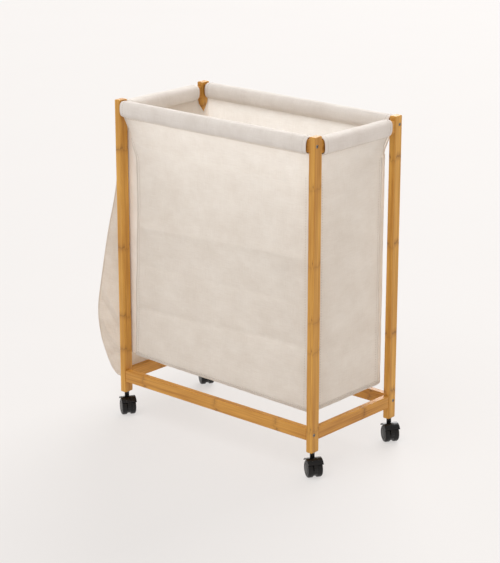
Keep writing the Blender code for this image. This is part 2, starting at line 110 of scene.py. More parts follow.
SEAM_STITCH_INSET = 0.0075
BASE_GAP = 0.0008
BASE_LIFT = 0.0012
BASE_SAG = 0.0075

# Sleeves
SLEEVE_HALF_WIDTH = 0.0132
SLEEVE_HALF_HEIGHT = 0.0182
SLEEVE_SQUARENESS = 2.7
SLEEVE_STEPS = 44
SLEEVE_UNDERCUT = 0.0020
SLEEVE_HEM = 0.009

# Pouch: height, and distance out from the posts' left faces
POUCH_WALL = [
    (0.652, 0.0085), (0.489, 0.0298), (0.374, 0.0595), (0.260, 0.0845),
    (0.176, 0.0990), (0.110, 0.0905), (0.060, 0.0690),
]
POUCH_SLING = [
    (0.060, 0.0690), (0.036, 0.0525), (0.025, 0.032),
    (0.034, 0.013), (0.060, 0.006), (0.094, 0.0045),
]
POUCH_END = 0.030
POUCH_CROWN = 0.023
POUCH_SAG = 0.009
POUCH_INNER = 0.0045
POUCH_TOP = 0.6640

# Corner cloth between the bag and the pouch: its bend, in from the left and from the nearest long side
WEB_BEND = 0.021
WEB_BEND_INSET = 0.0262
# How high up the pouch's end it is sewn
WEB_TOP = 0.648

# Bamboo: the paler and the darker colour of its fibres
POST_WOOD = ((0.830, 0.460, 0.098), (0.460, 0.190, 0.028))
RAIL_WOOD = ((0.760, 0.390, 0.078), (0.400, 0.152, 0.021))
STRIPS_PER_METRE = 150.0
KNOT_RIDGE = 0.0026
KNOT_STAIN = 0.012
POST_ROUNDING = 0.0013

# Small parts
THREAD_PITCH = 0.0013
WHEEL_HALF_WIDTH = 0.0060
HOOD_ROUNDING = 0.0008
# A direction that no seam runs along, to set the tubes' and stitches' sides by
OFF_AXIS = Vector((0.31, 0.47, 0.83))


# ---------------------------------------------------------------- node helpers

def make_node(tree, kind, inputs=None, **properties):
    """Adds a shader node. An input is set to a value, or linked when it is given a socket."""
    made = tree.nodes.new(kind)
    for key, value in properties.items():
        setattr(made, key, value)
    for key, value in (inputs or {}).items():
        if isinstance(value, bpy.types.NodeSocket):
            tree.links.new(value, made.inputs[key])
        else:
            made.inputs[key].default_value = value
    return made


def maths(tree, operation, first, second=0.0, third=0.0):
    node = make_node(tree, "ShaderNodeMath", {0: first, 1: second, 2: third}, operation=operation)
    return node.outputs[0]


def stretched_noise(tree, point, scale, detail=2.0, roughness=0.5):
    """Noise that is stretched differently along each axis of the point."""
    scaled = make_node(tree, "ShaderNodeVectorMath", {0: point, 1: scale}, operation="MULTIPLY").outputs[0]
    settings = {"Vector": scaled, "Scale": 1.0, "Detail": detail, "Roughness": roughness}
    return make_node(tree, "ShaderNodeTexNoise", settings).outputs["Fac"]


def blend_colours(tree, factor, first, second):
    inputs = {0: factor, 6: first, 7: second}
    mix = make_node(tree, "ShaderNodeMix", inputs, data_type="RGBA", blend_type="MIX")
    return mix.outputs[2]


def new_material(name, roughness, **shader_values):
    material = bpy.data.materials.new(name)
    material.use_nodes = True
    shader = material.node_tree.nodes["Principled BSDF"]
    shader.inputs["Roughness"].default_value = roughness
    for key, value in shader_values.items():
        shader.inputs[key.replace("_", " ")].default_value = value
    return material, material.node_tree, shader


# ---------------------------------------------------------------- materials

def canvas_material(name, pale, dark, seed, light_through=0.0):
    """Undyed plain weave: fine crossed threads, thicker slubs in both directions and soft clouding."""
    material, tree, shader = new_material(name, 0.92, Sheen_Weight=0.12, Sheen_Roughness=0.6)
    cloth = make_node(tree, "ShaderNodeUVMap", uv_map="cloth").outputs[0]
    moved = {0: cloth, 1: (seed, seed * 0.7, seed)}
    place = make_node(tree, "ShaderNodeVectorMath", moved, operation="ADD").outputs[0]
    wander = stretched_noise(tree, place, (60, 60, 1), 2)
    split = make_node(tree, "ShaderNodeSeparateXYZ", {0: place})
    turn = 2 * math.pi / THREAD_PITCH
    across = maths(tree, "MULTIPLY_ADD", split.outputs[0], turn, maths(tree, "MULTIPLY", wander, 9.0))
    along = maths(tree, "MULTIPLY_ADD", split.outputs[1], turn, maths(tree, "MULTIPLY", wander, 7.0))
    weave = maths(tree, "MULTIPLY", maths(tree, "SINE", across), maths(tree, "SINE", along))
    weft = stretched_noise(tree, place, (34, 620, 1), 3, 0.62)
    warp = stretched_noise(tree, place, (560, 30, 1), 3, 0.62)
    cloud = stretched_noise(tree, place, (14, 18, 1), 5, 0.62)
    slub = maths(tree, "MULTIPLY_ADD", weft, 0.55, maths(tree, "MULTIPLY", warp, 0.45))
    tone = maths(tree, "MULTIPLY_ADD", slub, 1.7, maths(tree, "MULTIPLY_ADD", cloud, 1.6, -1.15))
    tone = maths(tree, "MULTIPLY_ADD", weave, 0.08, tone)
    factor = make_node(tree, "ShaderNodeClamp", {0: tone}).outputs[0]
    colour = blend_colours(tree, factor, (*dark, 1), (*pale, 1))
    fold = stretched_noise(tree, place, (38, 26, 1), 3, 0.55)
    rumple = make_node(tree, "ShaderNodeBump", {"Strength": 0.42, "Distance": 0.0045, "Height": fold})
    fine = maths(tree, "MULTIPLY_ADD", weave, 0.35, maths(tree, "MULTIPLY", slub, 1.6))
    threads = {"Strength": 0.28, "Distance": 0.0006, "Height": fine, "Normal": rumple.outputs[0]}
    bump = make_node(tree, "ShaderNodeBump", threads)
    tree.links.new(colour, shader.inputs["Base Color"])
    tree.links.new(bump.outputs[0], shader.inputs["Normal"])
    if light_through:
        lit_cloth = {"Color": colour, "Normal": bump.outputs[0]}
        through = make_node(tree, "ShaderNodeBsdfTranslucent", lit_cloth)
        both = {0: light_through, 1: shader.outputs[0], 2: through.outputs[0]}
        mixed = make_node(tree, "ShaderNodeMixShader", both)
        tree.links.new(mixed.outputs[0], tree.nodes["Material Output"].inputs["Surface"])
    return material


def thread_material():
    """Twisted sewing thread."""
    material, tree, shader = new_material("sewing thread", 0.8, Sheen_Weight=0.1)
    point = make_node(tree, "ShaderNodeTexCoord").outputs["Object"]
    twist = stretched_noise(tree, point, (2400, 2400, 2400), 1)
    colour = blend_colours(tree, twist, (0.47, 0.41, 0.34, 1), (0.62, 0.56, 0.48, 1))
    bump = make_node(tree, "ShaderNodeBump", {"Strength": 0.3, "Distance": 0.0002, "Height": twist})
    tree.links.new(colour, shader.inputs["Base Color"])
    tree.links.new(bump.outputs[0], shader.inputs["Normal"])
    return material


def bamboo_material(name, axis, knots, seed, pale, dark):
    """Laminated bamboo along one axis (0, 1 or 2). Knots are where along it the culm's darker rings lie."""
    gloss_values = {"Coat_Weight": 0.06, "Coat_Roughness": 0.3, "Specular_IOR_Level": 0.3}
    material, tree, shader = new_material(name, 0.42, **gloss_values)
    point = make_node(tree, "ShaderNodeTexCoord").outputs["Object"]
    split = make_node(tree, "ShaderNodeSeparateXYZ", {0: point})
    along = split.outputs[axis]
    first, second = [split.outputs[other] for other in range(3) if other != axis]
    shifted = maths(tree, "ADD", along, seed)
    grain_point = make_node(tree, "ShaderNodeCombineXYZ", {0: first, 1: second, 2: shifted}).outputs[0]
    fibre = stretched_noise(tree, grain_point, (1150, 1150, 14), 3, 0.62)
    streak = stretched_noise(tree, grain_point, (260, 260, 4.5), 2, 0.55)
    drift = stretched_noise(tree, grain_point, (34, 34, 4.2), 3, 0.6)
    column = maths(tree, "FLOOR", maths(tree, "MULTIPLY_ADD", first, STRIPS_PER_METRE, seed))
    layer = maths(tree, "FLOOR", maths(tree, "MULTIPLY_ADD", second, STRIPS_PER_METRE, seed * 3))
    strip_place = make_node(tree, "ShaderNodeCombineXYZ", {0: column, 1: layer, 2: seed}).outputs[0]
    chance = make_node(tree, "ShaderNodeTexWhiteNoise", {"Vector": strip_place}, noise_dimensions="3D")
    strip = chance.outputs["Value"]
    tone = maths(tree, "MULTIPLY_ADD", fibre, 1.05, maths(tree, "MULTIPLY", streak, 1.15))
    tone = maths(tree, "MULTIPLY_ADD", drift, 1.15, tone)
    tone = maths(tree, "MULTIPLY_ADD", strip, 0.22, maths(tree, "SUBTRACT", tone, 1.33))
    factor = make_node(tree, "ShaderNodeClamp", {0: tone}).outputs[0]
    wood = blend_colours(tree, factor, (*dark, 1), (*pale, 1))
    ring = 0.0
    scar = 0.0
    for knot in knots:
        own = maths(tree, "MULTIPLY_ADD", strip, 0.012, knot - 0.006)
        bowed = maths(tree, "MULTIPLY_ADD", maths(tree, "SUBTRACT", streak, 0.5), 0.016, along)
        distance = maths(tree, "ABSOLUTE", maths(tree, "SUBTRACT", bowed, own))
        hump = maths(tree, "MAXIMUM", maths(tree, "MULTIPLY_ADD", distance, -1 / KNOT_RIDGE, 1.0), 0.0)
        wide = maths(tree, "MAXIMUM", maths(tree, "MULTIPLY_ADD", distance, -1 / KNOT_STAIN, 1.0), 0.0)
        ring = maths(tree, "ADD", ring, hump)
        scar = maths(tree, "ADD", scar, wide)
    worn = maths(tree, "MULTIPLY", scar, maths(tree, "MULTIPLY_ADD", strip, 0.45, 0.10))
    shaded = blend_colours(tree, worn, wood, (0.300, 0.120, 0.026, 1))
    fleck = maths(tree, "MULTIPLY", ring, maths(tree, "MULTIPLY_ADD", strip, 0.45, 0.12))
    colour = blend_colours(tree, fleck, shaded, (0.190, 0.074, 0.017, 1))
    height = maths(tree, "MULTIPLY_ADD", ring, 0.6, maths(tree, "MULTIPLY", fibre, 0.6))
    bump = make_node(tree, "ShaderNodeBump", {"Strength": 0.25, "Distance": 0.0005, "Height": height})
    gloss = maths(tree, "MULTIPLY_ADD", fibre, 0.18, 0.36)
    tree.links.new(colour, shader.inputs["Base Color"])
    tree.links.new(gloss, shader.inputs["Roughness"])
    tree.links.new(bump.outputs[0], shader.inputs["Normal"])
    return material


def plastic_material(name, colour, roughness, grain, wear):
    """Moulded black plastic: a fine spark-eroded grain, with faint scuffs that are paler and rougher."""
    material, tree, shader = new_material(name, roughness, Specular_IOR_Level=0.34)
    point = make_node(tree, "ShaderNodeTexCoord").outputs["Object"]
    pits = stretched_noise(tree, point, (grain, grain, grain), 2, 0.6)
    scuff = stretched_noise(tree, point, (160, 160, 520), 4, 0.65)
    worn = maths(tree, "MULTIPLY", maths(tree, "MAXIMUM", maths(tree, "SUBTRACT", scuff, 0.56), 0.0), wear)
    pale = tuple(channel * 3.2 + 0.012 for channel in colour)
    tint = blend_colours(tree, worn, (*colour, 1), (*pale, 1))
    bump = make_node(tree, "ShaderNodeBump", {"Strength": 0.25, "Distance": 0.0002, "Height": pits})
    tree.links.new(tint, shader.inputs["Base Color"])
    tree.links.new(maths(tree, "MULTIPLY_ADD", worn, 0.4, roughness), shader.inputs["Roughness"])
    tree.links.new(bump.outputs[0], shader.inputs["Normal"])
    return material


def steel_material():
    """Zinc-plated steel with fine turning marks and slight tarnish."""
    material, tree, shader = new_material("zinc plated steel", 0.34, Metallic=1.0)
    point = make_node(tree, "ShaderNodeTexCoord").outputs["Object"]
    marks = stretched_noise(tree, point, (5200, 900, 900), 2)
    tarnish = stretched_noise(tree, point, (420, 420, 420), 3)
    colour = blend_colours(tree, tarnish, (0.20, 0.185, 0.17, 1), (0.50, 0.48, 0.46, 1))
    bump = make_node(tree, "ShaderNodeBump", {"Strength": 0.2, "Distance": 0.0001, "Height": marks})
    tree.links.new(colour, shader.inputs["Base Color"])
    tree.links.new(maths(tree, "MULTIPLY_ADD", tarnish, 0.3, 0.22), shader.inputs["Roughness"])
    tree.links.new(bump.outputs[0], shader.inputs["Normal"])
    return material


# ---------------------------------------------------------------- mesh helpers

def make_piece(name, points, faces, material, body, cloth_map=None, crease_angle=None):
    """A mesh piece that rides on a body. cloth_map gives each point's place on the flat cloth."""
    mesh = bpy.data.meshes.new(name)
    mesh.from_pydata([tuple(point) for point in points], [], faces)
    mesh.materials.append(material)
    if cloth_map:
        layer = mesh.uv_layers.new(name="cloth")
        for loop in mesh.loops:
            layer.data[loop.index].uv = cloth_map[loop.vertex_index]
    mesh.shade_smooth()
    if crease_angle:
        mesh.set_sharp_from_angle(angle=crease_angle)
    piece = bpy.data.objects.new(name, mesh)
    bpy.context.scene.collection.objects.link(piece)
    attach(piece, body)
    return piece


def grid_faces(row_count, column_count, wrap=False, keep=None):
    faces = []
    for row in range(row_count - 1):
        for column in range(column_count if wrap else column_count - 1):
            if keep and not keep(row, column):
                continue
            after = (column + 1) % column_count
            low = row * column_count
            high = low + column_count
            faces.append((low + column, low + after, high + after, high + column))
    return faces


def run_lengths(points):
    """How far along the line each point lies."""
    lengths = [0.0]
    for before, after in zip(points, points[1:]):
        lengths.append(lengths[-1] + (after - before).length)
    return lengths


def cloth_sheet(name, rows, material, thickness=0.0, wrap=False, keep=None):
    """Cloth from rows of points: one bare layer, or a closed shell when it has a thickness."""
    middle_row = run_lengths(rows[len(rows) // 2])
    middle_column = run_lengths([row[len(row) // 2] for row in rows])
    cloth_map = [(u, v) for v in middle_column for u in middle_row]
    faces = grid_faces(len(rows), len(rows[0]), wrap, keep)
    points = [point for row in rows for point in row]
    piece = make_piece(name, points, faces, material, "root", cloth_map)
    if thickness:
        solid = piece.modifiers.new("cloth thickness", "SOLIDIFY")
        solid.thickness = thickness
        solid.offset = 0.0
    return piece


def swept_tube(name, path, radius, material, sides=8):
    """A round seam or hem along a path, with both ends closed."""
    points = []
    cloth_map = []
    lengths = run_lengths(path)
    for index, point in enumerate(path):
        before = path[max(index - 1, 0)]
        after = path[min(index + 1, len(path) - 1)]
        tangent = (after - before).normalized()
        side = tangent.cross(OFF_AXIS).normalized()
        top = tangent.cross(side)
        for step in range(sides):
            angle = 2 * math.pi * step / sides
            points.append(point + radius * (math.cos(angle) * side + math.sin(angle) * top))
            cloth_map.append((lengths[index], radius * angle))
    faces = grid_faces(len(path), sides, wrap=True)
    last = (len(path) - 1) * sides
    faces.append(tuple(range(sides))[::-1])
    faces.append(tuple(range(last, last + sides)))
    return make_piece(name, points, faces, material, "root", cloth_map)


def point_on(path, lengths, distance):
    """The point at a distance along a path, and the path's direction there."""
    for index in range(1, len(path)):
        if lengths[index] >= distance or index == len(path) - 1:
            before, after = path[index - 1], path[index]
            span = max(lengths[index] - lengths[index - 1], 1e-9)
            share = (distance - lengths[index - 1]) / span
            return before.lerp(after, share), (after - before).normalized()


def stitch_row(name, paths, material, pitch=0.0052):
    """Separate stitches in a row along one or more paths: small pointed spindles of thread."""
    sides = 5
    length = 0.0032
    radius = 0.00042
    points = []
    faces = []
    for path in paths:
        lengths = run_lengths(path)
        count = int(lengths[-1] / pitch)
        for number in range(count):
            centre, tangent = point_on(path, lengths, (number + 0.5) * pitch)
            side = tangent.cross(OFF_AXIS).normalized()
            top = tangent.cross(side)
            start = len(points)
            points.append(centre - tangent * length / 2)
            for share in (-0.3, 0.3):
                for step in range(sides):
                    angle = 2 * math.pi * step / sides
                    spoke = math.cos(angle) * side + math.sin(angle) * top
                    points.append(centre + tangent * share * length + spoke * radius)
            points.append(centre + tangent * length / 2)
            for step in range(sides):
                after = (step + 1) % sides
                low, low_after = start + 1 + step, start + 1 + after
                high, high_after = low + sides, low_after + sides
                faces.append((start, low_after, low))
                faces.append((low, low_after, high_after, high))
                faces.append((high, high_after, start + 1 + 2 * sides))
    return make_piece(name, points, faces, material, "root")


def smooth_curve(points, steps):
    """Points on a Catmull-Rom curve through the given 2-D points."""
    ends = [points[0], *points, points[-1]]
    curve = []
    for index in range(len(points) - 1):
        a, b, c, d = (Vector(p) for p in ends[index:index + 4])
        for step in range(steps):
            t = step / steps
            rising = (c - a) * t + (2 * a - 5 * b + 4 * c - d) * t * t + (3 * b - a - 3 * c + d) * t ** 3
            curve.append(b + rising / 2)
    curve.append(Vector(points[-1]))
    return curve


def between(stations, key):
    """A smooth value at a key, from rising (key, value) stations."""
    if key <= stations[0][0]:
        return stations[0][1]
    for (low, first), (high, second) in zip(stations, stations[1:]):
        if key <= high:
            share = (key - low) / (high - low)
            share = share * share * (3 - 2 * share)
            return first + (second - first) * share
    return stations[-1][1]


def wobble(x, y, seed, amount):
    return amount * noise.noise(Vector((x, y, seed)))


# ---------------------------------------------------------------- bag body

def notch_share(height):
    return min(max((height - BAG_NOTCH) / (BAG_TOP - BAG_NOTCH), 0), 1) ** 1.2


def panel_edges(side, height):
    """Where a panel starts and ends, left to right as seen from outside, measured from its own middle."""
    rise = notch_share(height)
    if side in ("front", "back"):
        plain = LONG_EDGE + (LONG_SLEEVE_END - LONG_EDGE) * rise
        left = plain
        if side == "front" and height < BAG_NOTCH:
            left = between(FRONT_LEFT_EDGE, height)
        return -(WIDTH / 2 - left), WIDTH / 2 - plain
    near = NEAR_EDGE + (NEAR_SLEEVE_END - NEAR_EDGE) * rise
    if side == "right":
        far = FAR_EDGE + (FAR_SLEEVE_END - FAR_EDGE) * rise
        return -(DEPTH / 2 - near), DEPTH / 2 - far
    far = LEFT_FAR_EDGE[0] + (LEFT_FAR_EDGE[1] - LEFT_FAR_EDGE[0]) * rise
    return -(DEPTH / 2 - far), DEPTH / 2 - near


def side_width(side, height):
    start, end = panel_edges(side, height)
    return end - start


def panel_inset(side, height):
    """How far in a panel hangs. It swings out to its sleeve's underside at the top."""
    sleeve_inset = LONG_SLEEVE_INSET if side in ("front", "back") else SHORT_SLEEVE_INSET
    swing = min(max((height - SWING_START) / (BAG_TOP - SWING_START), 0), 1) ** 1.7
    return BAG_INSET + (sleeve_inset - BAG_INSET) * swing


def panel_relief(side, across, height):
    """How far the cloth stands out from its flat panel."""
    seed = 3.1 * SIDES.index(side) + 1.7
    rise = min(max((height - BAG_LOW) / (BAG_TOP - BAG_LOW), 0), 1)
    width = side_width(side, height)
    share = across / width
    out = BILLOW * math.sin(math.pi * rise) * math.sin(math.pi * min(max(share, 0), 1))
    from_edge = min(max(min(across, width - across) / 0.050, 0), 1)
    for left, right, stand in CREASES[side]:
        line = left + (right - left) * share + wobble(across / 0.07, seed, 9.0, 0.004)
        gap = abs(height - line)
        fade = (0.7 + 0.3 * math.sin(7 * share + seed)) * from_edge * (2 - from_edge)
        out += stand * fade * (math.exp(-gap / CREASE_REACH) + 0.36 * math.exp(-gap / CREASE_EDGE))
    out += wobble(across / 0.12, height / 0.17, seed, 0.0018)
    out += wobble(across / 0.040, height / 0.070, seed + 4, 0.0007)
    under_sleeve = math.exp(-(BAG_TOP - height) / 0.022)
    out += under_sleeve * wobble(across / 0.016, height / 0.06, seed + 8, 0.0012)
    over_seam = math.exp(-(height - BAG_LOW) / 0.016)
    out += over_seam * wobble(across / 0.020, height / 0.05, seed + 11, 0.0011)
    beside_seam = math.exp(-min(across, width - across) / 0.012)
    out += beside_seam * wobble(across / 0.03, height / 0.022, seed + 14, 0.0009)
    return out * (1 - 0.85 * math.exp(-(BAG_TOP - height) / 0.006))


def panel_point(side, share, height, standoff=0.0):
    """A point on a panel. The share runs 0 to 1 from left to right, as seen from outside."""
    start, end = panel_edges(side, height)
    width = end - start
    across = share * width
    out = panel_relief(side, across, height) + standoff + BAG_INSET - panel_inset(side, height)
    place = start + across
    drop = END_SLEEVE_DROP if side in ("left", "right") else 0.0
    rise = (height - BAG_LOW) / (BAG_TOP - BAG_LOW)
    height -= drop * max(rise, 0) ** 4
    if side == "front":
        x, y = MIDDLE_X + place, FRONT + BAG_INSET - out
    elif side == "back":
        x, y = MIDDLE_X - place, BACK - BAG_INSET + out
    elif side == "right":
        x, y = RIGHT - BAG_INSET + out, MIDDLE_Y + place
    else:
        x, y = LEFT + BAG_INSET - out, MIDDLE_Y - place
    tilt = BAG_TILT * (1 - 2 * (x - LEFT) / WIDTH) * (1 - min(max(rise, 0), 1)) ** 2
    return Vector((x, y, FOOT + height + tilt))


def corner_point(side, after, share, height, standoff=0.0):
    """A point on the slanting corner between a panel and the next one round the bag."""
    start = panel_point(side, 1.0, height, standoff)
    end = panel_point(after, 0.0, height, standoff)
    outward = Vector((end.y - start.y, start.x - end.x, 0)).normalized()
    climb = (height - BAG_LOW) / (BAG_NOTCH - BAG_LOW)
    bulge = CORNER_BULGE * 4 * share * (1 - share) * max(0, 1 - climb ** 6)
    seed = SIDES.index(side) + 0.5
    pleat = wobble(share * 2.2, height / 0.09, seed, 0.0014) * math.sin(math.pi * share)
    return start.lerp(end, share) + outward * (bulge + pleat)


def ring_points(height, standoff=0.0):
    """One row of points round the bag: each panel, then the corner after it."""
    row = []
    for index, side in enumerate(SIDES):
        steps = LONG_STEPS if side in ("front", "back") else SHORT_STEPS
        row += [panel_point(side, step / steps, height, standoff) for step in range(steps + 1)]
        after = SIDES[(index + 1) % 4]
        for step in range(1, CORNER_STEPS):
            share = step / CORNER_STEPS
            floor = notch_floor(side, share)
            row.append(corner_point(side, after, share, min(height, floor), standoff))
    return row


def notch_floor(side, share):
    """The height of the V-shaped top edge at the corner after a side."""
    return BAG_NOTCH + NOTCH_LIFT[side] + NOTCH_VEE * abs(2 * share - 1) ** 1.3


def corner_edges():
    """For each column of faces in a corner, the highest point of the corner's top edge over it."""
    columns = {}
    start = 0
    for side in SIDES:
        steps = LONG_STEPS if side in ("front", "back") else SHORT_STEPS
        for step in range(CORNER_STEPS):
            shares = (step / CORNER_STEPS, (step + 1) / CORNER_STEPS)
            columns[start + steps + step] = max(notch_floor(side, share) for share in shares)
        start += steps + CORNER_STEPS
    return columns


def build_bag(canvas, thread):
    heights = [BAG_LOW + (BAG_NOTCH - BAG_LOW) * step / LOW_STEPS for step in range(LOW_STEPS + 1)]
    heights += [BAG_NOTCH + (BAG_TOP - BAG_NOTCH) * step / TOP_STEPS for step in range(1, TOP_STEPS + 1)]
    rows = [ring_points(height) for height in heights]
    corners = corner_edges()

    def is_cloth(row, column):
        return column not in corners or heights[row] < corners[column] - 0.0001

    body = cloth_sheet("bag_body", rows, canvas, wrap=True, keep=is_cloth)
    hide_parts("bag_panel_front", "bag_panel_back", "bag_panel_left", "bag_panel_right")
    hems = build_notch_hems(canvas) + build_top_stitches(thread) + build_corner_seams(canvas, thread)
    build_bottom(canvas, thread)


def build_notch_hems(canvas):
    """A rolled hem down one side of each corner's notch and up the other."""
    hems = []
    for index, side in enumerate(SIDES):
        after = SIDES[(index + 1) % 4]
        start = notch_floor(side, 0)
        heights = [start + (BAG_TOP - start) * step / TOP_STEPS for step in range(TOP_STEPS + 1)]
        down = [panel_point(side, 1.0, height) for height in reversed(heights)]
        shares = [step / CORNER_STEPS for step in range(1, CORNER_STEPS)]
        floor = [corner_point(side, after, share, notch_floor(side, share)) for share in shares]
        up = [panel_point(after, 0.0, height) for height in heights]
        hems.append(swept_tube(f"notch_hem_{side}_{after}", down + floor + up, 0.00125, canvas))
    return hems


def build_top_stitches(thread):
    """The row of stitches that joins each panel to its sleeve."""
    paths = []
    for side in SIDES:
        shares = [0.02 + 0.96 * step / 60 for step in range(61)]
        paths.append([panel_point(side, share, BAG_TOP - 0.0045, 0.0007) for share in shares])
    return [stitch_row("sleeve_seam_stitches", paths, thread)]


def build_corner_seams(canvas, thread):
    """A corded seam down both creases of each corner, with a row of stitches inside it on the panel."""
    pieces = []
    stitch_paths = []
    heights = [BAG_LOW + (BAG_NOTCH - BAG_LOW) * step / 60 for step in range(61)]
    for side in SIDES:
        width = side_width(side, BAG_LOW)
        for edge, share in (("start", 0.0), ("end", 1.0)):
            inside = 1 if share == 0.0 else -1
            crease = [panel_point(side, share, height, 0.0003) for height in heights]
            pieces.append(swept_tube(f"seam_{side}_{edge}", crease, 0.00105, canvas, sides=7))
            sewn = share + inside * SEAM_STITCH_INSET / width
            stitch_paths.append([panel_point(side, sewn, height, 0.0006) for height in heights])
    pieces.append(stitch_row("seam_stitches", stitch_paths, thread, pitch=0.0058))
    return pieces


def build_bottom(canvas, thread):
    """The bag's own bottom panel, sagging a little, and the band that sews it to the walls."""
    across = 70
    deep = 34
    rows = []
    long_half = side_width("front", BAG_LOW) / 2
    flat_half_depth = DEPTH / 2 - FAR_EDGE
    half_depth = DEPTH / 2 - BAG_INSET - BASE_GAP
    half_width = WIDTH / 2 - BAG_INSET - BASE_GAP
    for step in range(deep + 1):
        y = half_depth * (2 * step / deep - 1)
        slant = max(abs(y) - flat_half_depth, 0) / (half_depth - flat_half_depth)
        reach = half_width + (long_half - half_width) * slant
        row = []
        for column in range(across + 1):
            x = reach * (2 * column / across - 1)
            sag = BASE_SAG * (1 - (x / half_width) ** 2) * (1 - (y / half_depth) ** 2)
            sag += wobble(x / 0.09, y / 0.06, 2.4, 0.0012)
            tilt = BAG_TILT * (1 - 2 * (MIDDLE_X + x - LEFT) / WIDTH)
            row.append(Vector((MIDDLE_X + x, MIDDLE_Y + y, FOOT + BAG_LOW + BASE_LIFT - sag + tilt)))
        rows.append(row)
    bottom = cloth_sheet("bag_base", rows, canvas)
    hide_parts("bag_bottom")
    band_rows = [ring_points(BAG_LOW + lift, standoff) for lift, standoff in
                 ((-0.0012, 0.0002), (0.0000, 0.0012), (0.0055, 0.0013), (0.0075, 0.0010))]
    band = cloth_sheet("bag_base_band", band_rows, canvas, thickness=0.0009, wrap=True)
    stitches = stitch_row("bag_base_stitches", [ring_points(BAG_LOW + 0.0052, 0.0019)], thread)


# ---------------------------------------------------------------- sleeves

def squared(value):
    """A sine or cosine pushed outwards, as cloth takes the shape of the rail inside it."""
    return math.copysign(abs(value) ** (2 / SLEEVE_SQUARENESS), value)


def sleeve_point(centre, inward, along, place, angle, ends, seed):
    """A point on a sleeve. Angle 0 is its top, and it turns towards the inside of the bag."""
    start, end = ends
    under = ((1 - math.cos(angle)) / 2) ** 2 * SLEEVE_UNDERCUT
    from_end = min(place - start, end - place)
    middle = (start + end) / 2
    half = (end - start) / 2
    along_place = middle + (place - middle) / half * (half - under)
    lap = math.sin(angle)
    slack = wobble(place / 0.075, lap * 1.3, seed, 0.0008)
    slack += wobble(place / 0.024, lap * 2.2, seed + 3, 0.0004)
    slack += 0.0004 * math.sin(angle * 2 + place / 0.09 + seed) * (1 - math.cos(angle)) / 2
    slack -= 0.0010 * math.exp(-(from_end / 0.0045) ** 2)
    belly = 0.0022 * max(math.sin(angle), 0)
    across = (SLEEVE_HALF_WIDTH + slack + belly) * squared(math.sin(angle))
    up = (SLEEVE_HALF_HEIGHT + slack) * squared(math.cos(angle))
    return centre + along * along_place + inward * across + Vector((0, 0, up))


def build_sleeve(side, canvas, thread):
    lowest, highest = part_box("top_rail_" + side)
    centre = (lowest + highest) / 2
    long_side = side in ("front", "back")
    along = Vector((1, 0, 0)) if long_side else Vector((0, 1, 0))
    inward = (Vector((MIDDLE_X, MIDDLE_Y, centre.z)) - centre).normalized()
    if long_side:
        slip = 0.0020 if side == "back" else 0.0
        ends = (LONG_SLEEVE_END + slip - WIDTH / 2, WIDTH / 2 - LONG_SLEEVE_END)
    else:
        ends = (NEAR_SLEEVE_END - DEPTH / 2, DEPTH / 2 - FAR_SLEEVE_END)
    start, end = ends
    seed = 5.3 * SIDES.index(side) + 2.1
    steps = 120 if long_side else 56
    # The rings lie closer together towards the sleeve's ends
    shares = [0.5 + 0.125 * math.sin(math.pi * (step / steps - 0.5)) + 0.75 * (step / steps - 0.5)
              for step in range(steps + 1)]
    places = [start + (end - start) * share for share in shares]
    angles = [2 * math.pi * step / SLEEVE_STEPS for step in range(SLEEVE_STEPS)]

    def ring_at(place, ring_angles):
        return [sleeve_point(centre, inward, along, place, angle, ends, seed) for angle in ring_angles]

    rows = [ring_at(place, angles) for place in places]
    sleeve = cloth_sheet("sleeve_" + side, rows, canvas, thickness=0.0012, wrap=True)
    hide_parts("bag_sleeve_" + side)
    rings = []
    for place in (start + SLEEVE_HEM, end - SLEEVE_HEM):
        ring = ring_at(place, [*angles, 0.0])
        rings.append([point + (point - centre - along * place).normalized() * 0.0008 for point in ring])
    stitches = stitch_row(f"sleeve_{side}_end_stitches", rings, thread, pitch=0.0046)


# ---------------------------------------------------------------- pouch

def pouch_point(height, out, share, crown, sag, crumple=1.0):
    """A point on the pouch's wall or sling. The share runs from its front end to its back end."""
    half = DEPTH / 2 - POUCH_END
    bulge = math.sin(math.pi * share) ** 0.8 if 0 < share < 1 else 0.0
    y = MIDDLE_Y - half + 2 * half * share
    inside = min(1, 8 * share * (1 - share)) * crumple
    rumple = wobble(share * 3.4, height / 0.16, 5.5, 0.0042) + wobble(share * 8, height / 0.07, 7.5, 0.0016)
    gathers = math.sin(share * 21 + 3 * math.sin(height * 9)) * math.exp(-(height / 0.19) ** 2)
    stand = crown * bulge + inside * rumple + inside * 0.0016 * gathers
    sink = inside * wobble(share * 4, height / 0.05, 3.5, 0.0012)
    return Vector((LEFT - out - stand, y, FOOT + height - sag * bulge + sink))


def pouch_rows():
    """The wall's rows from its top down to the seam, and the sling's rows on to the inner sheet."""
    shares = [column / 52 for column in range(53)]
    wall = smooth_curve(POUCH_WALL, 12)
    sling = smooth_curve(POUCH_SLING, 7)
    lowest = min(range(len(sling)), key=lambda index: sling[index][0])
    rows = []
    for height, out in wall:
        rows.append([pouch_point(height, out, share, POUCH_CROWN, 0) for share in shares])
    for index, (height, out) in enumerate(sling[1:], start=1):
        crown = POUCH_CROWN * max(0, 1 - index / lowest)
        sag = POUCH_SAG * max(0, (sling[0][0] - height) / (sling[0][0] - sling[lowest][0]))
        crumple = 1 if index < lowest else 0.25
        rows.append([pouch_point(height, out, share, crown, sag, crumple) for share in shares])
    return rows, len(wall) - 1


def outline_reach(height, outline):
    """How far out a branch of the pouch's outline lies at a height."""
    for (first_height, first_out), (second_height, second_out) in zip(outline, outline[1:]):
        low, high = min(first_height, second_height), max(first_height, second_height)
        if low <= height <= high and high > low:
            share = (height - first_height) / (second_height - first_height)
            return first_out + (second_out - first_out) * share
    return outline[-1][1] if height < outline[-1][0] else outline[0][1]


